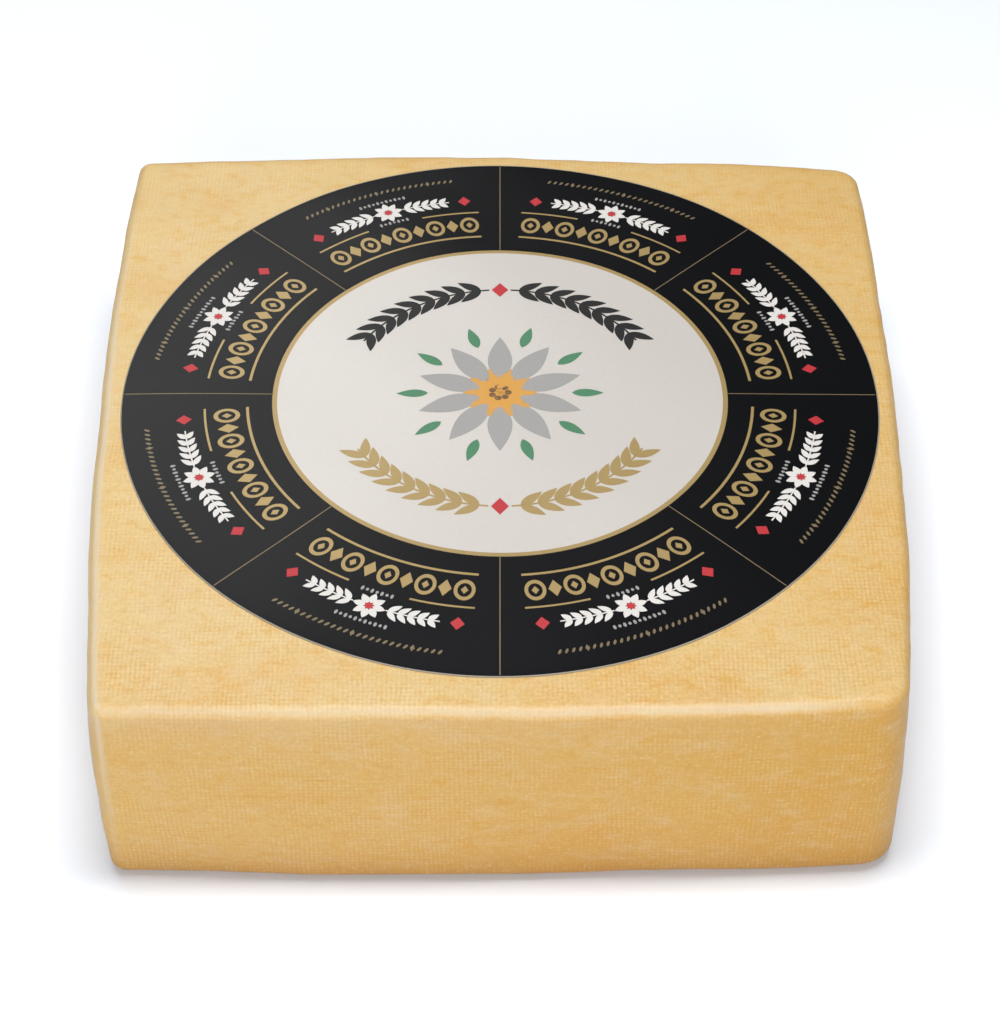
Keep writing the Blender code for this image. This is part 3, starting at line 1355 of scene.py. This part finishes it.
@dataclass
class LabelPrint:
    """The ornaments printed on the label: eight equal sectors, a beaded rim and a flower medallion."""

    top: TopSurface
    radius: float
    repeat: RoundRepeat
    face: float = 0.45 * MILLIMETRE
    ink_lift: float = 0.035 * MILLIMETRE
    sectors: int = 8
    line: float = 0.0027
    _inks: dict[Ink, bpy.types.Material] = field(default_factory=dict)

    def _ink(self, ink: Ink) -> bpy.types.Material:
        """The material of one ink, made once."""
        if ink not in self._inks:
            self._inks[ink] = INK_FINISHES[ink].build()
        return self._inks[ink]

    def _print(self, name: str, motif: Motif, count: int, radius: float, angle: float) -> bpy.types.Object:
        """Repeat a motif round the label and lay it on the paper.

        Args:
            name: The piece's name.
            motif: The flat shapes.
            count: How many copies round the circle.
            radius: The circle, in units of the label's radius.
            angle: Where the first copy stands, in radians from +X.

        Returns:
            The printed piece.
        """
        flat = motif.mesh(name, self.radius)
        piece = self.repeat.apply(flat, count, radius * self.radius, angle, self._ink(motif.ink))
        mesh = piece.data
        co = np.empty(len(mesh.vertices) * 3)
        mesh.vertices.foreach_get("co", co)
        co = co.reshape(-1, 3)
        laid = self.top.lay(co[:, 0], co[:, 1], self.face + self.ink_lift)
        mesh.vertices.foreach_set("co", laid.ravel())
        mesh.update()
        return piece

    def _dividers(self) -> Motif:
        """One thin dull line from the gold ring to the rim, in short steps."""
        motif = Motif(Ink.BRONZE)
        stops = np.linspace(0.604, 0.994, 14)
        half = self.line / 2
        for low, high in zip(stops, stops[1:]):
            motif.add([(-half, low), (half, low), (half, high), (-half, high)])
        return motif

    def _rim_beads(self) -> Motif:
        """An arc of small dull gold grains near the rim of one sector."""
        motif = Motif(Ink.BRONZE)
        for step in range(-13, 14):
            angle = pi / 2 + radians(1.05 * step)
            x, y = 0.932 * cos(angle), 0.932 * sin(angle)
            if step % 9 == 0:
                motif.add(placed(lozenge(0.012, 0.022), x, y, angle - pi / 2))
            else:
                motif.add(placed(ellipse(0.0036, 0.0085, 8), x, y, angle - pi / 2 - 0.5))
        return motif

    def _sector_gold(self) -> Motif:
        """A chain of gold rings and lozenges between two curved rules."""
        motif = Motif(Ink.GOLD)
        for step in range(-4, 5):
            angle = pi / 2 + radians(3.9 * step)
            x, y = 0.722 * cos(angle), 0.722 * sin(angle)
            turn = angle - pi / 2
            if step % 2:
                motif.add(placed(lozenge(0.034, 0.056), x, y, turn))
            else:
                border = hollow(ellipse(0.027, 0.035, 22), 0.66)
                motif.add(*(placed(quad, x, y, turn) for quad in border))
                motif.add(placed(lozenge(0.019, 0.027), x, y, turn))
        span = radians(18.0)
        motif.add(*arc_strip(0.667, 0.0075, pi / 2 - span, pi / 2 + span))
        for way in (-1, 1):
            motif.add(*arc_strip(0.779, 0.0060, pi / 2 + way * radians(6), pi / 2 + way * span))
        return motif

    def _sector_white(self) -> Motif:
        """A white garland: leaves to both sides of a small flower."""
        motif = Motif(Ink.WHITE)
        for petal in range(8):
            turn = 2 * pi * petal / 8
            motif.add(placed(leaf(0.034, 0.020, 6), 0.009 * cos(turn), 0.834 + 0.009 * sin(turn), turn))
        for way in (-1, 1):
            for step in range(5):
                angle = pi / 2 + way * radians(3.4 + 1.75 * step)
                x, y = 0.834 * cos(angle), 0.834 * sin(angle)
                for lean in (-1, 1):
                    turn = angle + way * pi / 2 + lean * 0.75
                    motif.add(placed(leaf(0.040 - 0.002 * step, 0.016, 6), x, y, turn))
            motif.add(*arc_strip(0.834, 0.004, pi / 2 + way * radians(3), pi / 2 + way * radians(12.4)))
        return motif

    def _sector_grey(self) -> Motif:
        """Two short rows of fine grey grains, outside and inside the garland."""
        motif = Motif(Ink.GREY)
        for radius, reach in ((0.886, 5), (0.786, 3)):
            for step in range(-reach, reach + 1):
                angle = pi / 2 + radians(0.85 * step * 0.886 / radius)
                grain = ellipse(0.0040, 0.0075 if step % 2 else 0.0050, 8)
                motif.add(placed(grain, radius * cos(angle), radius * sin(angle), angle - pi / 2))
        return motif

    def _sector_red(self) -> Motif:
        """The red heart of the small flower and a red lozenge at each end of the garland."""
        motif = Motif(Ink.RED)
        motif.add(placed(ellipse(0.0115, 0.0115, 14), 0, 0.834))
        for way in (-1, 1):
            angle = pi / 2 + way * radians(15.4)
            motif.add(placed(lozenge(0.036, 0.042), 0.834 * cos(angle), 0.834 * sin(angle), angle - pi / 2))
        return motif

    def build(self) -> list[bpy.types.Object]:
        """Print everything.

        Returns:
            The printed pieces.
        """
        half = pi / self.sectors
        pieces = [
            self._print("divider_lines", self._dividers(), self.sectors, 0.0, 0.0),
            self._print("rim_grains", self._rim_beads(), self.sectors, 0.0, half),
            self._print("sector_chains", self._sector_gold(), self.sectors, 0.0, half),
            self._print("sector_garlands", self._sector_white(), self.sectors, 0.0, half),
            self._print("sector_grains", self._sector_grey(), self.sectors, 0.0, half),
            self._print("sector_hearts", self._sector_red(), self.sectors, 0.0, half),
        ]
        return pieces + self._medallion()

    def _medallion(self) -> list[bpy.types.Object]:
        """The flower, its leaves, two laurel arcs and their red accents in the white middle."""
        petals = Motif(Ink.GREY)
        petals.add(placed(leaf(0.170, 0.066, 12), 0, 0, pi / 2))
        inner = Motif(Ink.OCHRE)
        inner.add(placed(leaf(0.100, 0.040, 10), 0, 0, pi / 2))
        heart = Motif(Ink.BROWN)
        heart.add(ellipse(0.0095, 0.0095, 10))
        greens = Motif(Ink.GREEN)
        greens.add(placed(leaf(0.085, 0.030, 10), 0, 0, pi / 2))
        laurel, gilt = Motif(Ink.BLACK), Motif(Ink.GOLD)
        for branch, middle in ((laurel, pi / 2), (gilt, -pi / 2)):
            for way in (-1, 1):
                for step in range(9):
                    angle = middle + way * radians(7 + 6.0 * step)
                    x, y = 0.425 * cos(angle), 0.425 * sin(angle)
                    for lean in (-1, 1):
                        turn = angle + way * pi / 2 + lean * 0.60
                        branch.add(placed(leaf(0.074, 0.027, 8), x, y, turn))
                first, last = middle + way * radians(4), middle + way * radians(60)
                branch.add(*arc_strip(0.425, 0.006, first, last))
        accents = Motif(Ink.RED)
        accents.add(placed(lozenge(0.046, 0.060), 0, 0.425))
        accents.add(placed(lozenge(0.046, 0.060), 0, -0.425))
        return [
            self._print("medallion_petals", petals, 10, 0.055, pi / 2),
            self._print("medallion_leaves", greens, 10, 0.190, pi / 2 + pi / 10),
            self._print("medallion_core", inner, 10, 0.0, pi / 2 + pi / 10),
            self._print("medallion_heart", heart, 7, 0.022, 0.0),
            self._print("medallion_laurel_dark", laurel, 1, 0.0, pi / 2),
            self._print("medallion_laurel_gold", gilt, 1, 0.0, pi / 2),
            self._print("medallion_accents", accents, 1, 0.0, pi / 2),
        ]


@dataclass
class Studio:
    """A white sweep, soft overhead light and the camera at the photograph's viewing angle."""

    label_centre: tuple[float, float]
    label_radius: float
    top_height: float
    pitch: float = 44.49
    camera_back: float = 5.126
    camera_rise: float = 4.612
    focal_pixels: float = 2600.0
    image_long_side: float = 1020.0
    floor_half: float = 6.0
    floor_hex: str = "f2f7ff"
    sky_strength: float = 0.24
    sky_slope: tuple[float, float, float] = (0.0, -0.20, 0.0)

    def _camera(self) -> None:
        """Stand the camera in front of the label and tip it down at its middle."""
        data = bpy.data.cameras.new("view")
        data.sensor_width = 36.0
        data.lens = data.sensor_width * self.focal_pixels / self.image_long_side
        data.clip_start = 0.05
        camera = bpy.data.objects.new("view", data)
        camera.location = (
            self.label_centre[0],
            self.label_centre[1] - self.camera_back * self.label_radius,
            self.top_height + self.camera_rise * self.label_radius,
        )
        camera.rotation_euler = (radians(90 - self.pitch), 0, 0)
        bpy.context.scene.collection.objects.link(camera)
        bpy.context.scene.camera = camera

    def _area(
        self, name: str, place: Sequence[float], size: tuple[float, float], power: float
    ) -> None:
        """Hang one oblong soft white light that faces the middle of the block.

        Args:
            name: The light's name.
            place: Where it hangs.
            size: Its width and depth in metres.
            power: Its power in watts.
        """
        data = bpy.data.lights.new(name, "AREA")
        data.shape = "RECTANGLE"
        data.size, data.size_y = size
        data.energy = power
        light = bpy.data.objects.new(name, data)
        light.location = place
        aim = Vector((0, 0, self.top_height / 2)) - light.location
        light.rotation_euler = aim.to_track_quat("-Z", "Y").to_euler()
        bpy.context.scene.collection.objects.link(light)

    def _sky(self, scene: bpy.types.Scene) -> None:
        """Fill the studio with white light that grows towards the front."""
        world = bpy.data.worlds.new("white_studio")
        scene.world = world
        world.use_nodes = True
        tree = world.node_tree
        tree.nodes.clear()
        direction = add_node(tree, "ShaderNodeTexCoord").outputs["Generated"]
        slope = add_node(
            tree,
            "ShaderNodeVectorMath",
            {0: direction, 1: self.sky_slope},
            operation="DOT_PRODUCT",
        )
        strength = add_node(
            tree, "ShaderNodeMath", {0: slope.outputs["Value"], 1: self.sky_strength}, operation="ADD"
        )
        light = add_node(tree, "ShaderNodeBackground", {"Strength": strength.outputs[0]})
        light.inputs["Color"].default_value = (1, 1, 1, 1)
        add_node(tree, "ShaderNodeOutputWorld", {0: light.outputs[0]})

    def build(self) -> bpy.types.Object:
        """Build the studio.

        Returns:
            The floor.
        """
        scene = bpy.context.scene
        scene.view_settings.view_transform = "Standard"
        scene.view_settings.look = "None"
        self._sky(scene)
        self._area("overhead", (0.03, -0.11, 1.0), (0.46, 0.26), 8.0)
        self._area("front_fill", (0.0, -1.8, 0.76), (1.0, 1.0), 18.8)
        self._area("left_back", (-0.38, 0.92, 0.95), (0.66, 0.40), 4.2)
        material, tree = new_material("matt_white_sweep")
        shader = add_node(
            tree,
            "ShaderNodeBsdfDiffuse",
            {"Color": linear_color(self.floor_hex)},
        )
        add_node(tree, "ShaderNodeOutputMaterial", {0: shader.outputs[0]})
        side = self.floor_half
        corners = [(-side, -side, 0), (side, -side, 0), (side, side, 0), (-side, side, 0)]
        floor = mesh_object("floor", corners, [(0, 1, 2, 3)], [material], smooth=False)
        self._camera()
        return floor


def middle_of(node: str) -> tuple[float, float]:
    """The middle of a CAD node's box in plan."""
    low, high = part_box(node)
    return (low.x + high.x) / 2, (low.y + high.y) / 2


def main() -> None:
    """Dress the block: rind, paper, print, then the studio."""
    logging.basicConfig(level=logging.INFO, format="%(name)s: %(message)s")
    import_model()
    low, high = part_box("label")
    label_radius = (high.x - low.x) / 2
    top = TopSurface(centre=middle_of("label"))

    rind = CheeseBlock(top, label_radius).build(WaxedRind().build())
    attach(rind, BODY)
    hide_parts("cheese_block")
    log.info("rind: %d faces", len(rind.data.polygons))
    flecks = RindFlecks().build(rind, DryRind().build())
    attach(flecks, BODY)
    log.info("rind flecks: %d faces", len(flecks.data.polygons))

    paper = PaperLabel(top, label_radius).build()
    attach(paper, BODY)
    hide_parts("label")
    log.info("label paper: %d faces", len(paper.data.polygons))

    for piece in LabelPrint(top, label_radius, RoundRepeat()).build():
        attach(piece, BODY)
        log.info("%s: %d faces", piece.name, len(piece.data.polygons))

    floor = Studio(top.centre, label_radius, top.height).build()


if __name__ == "__main__":
    main()
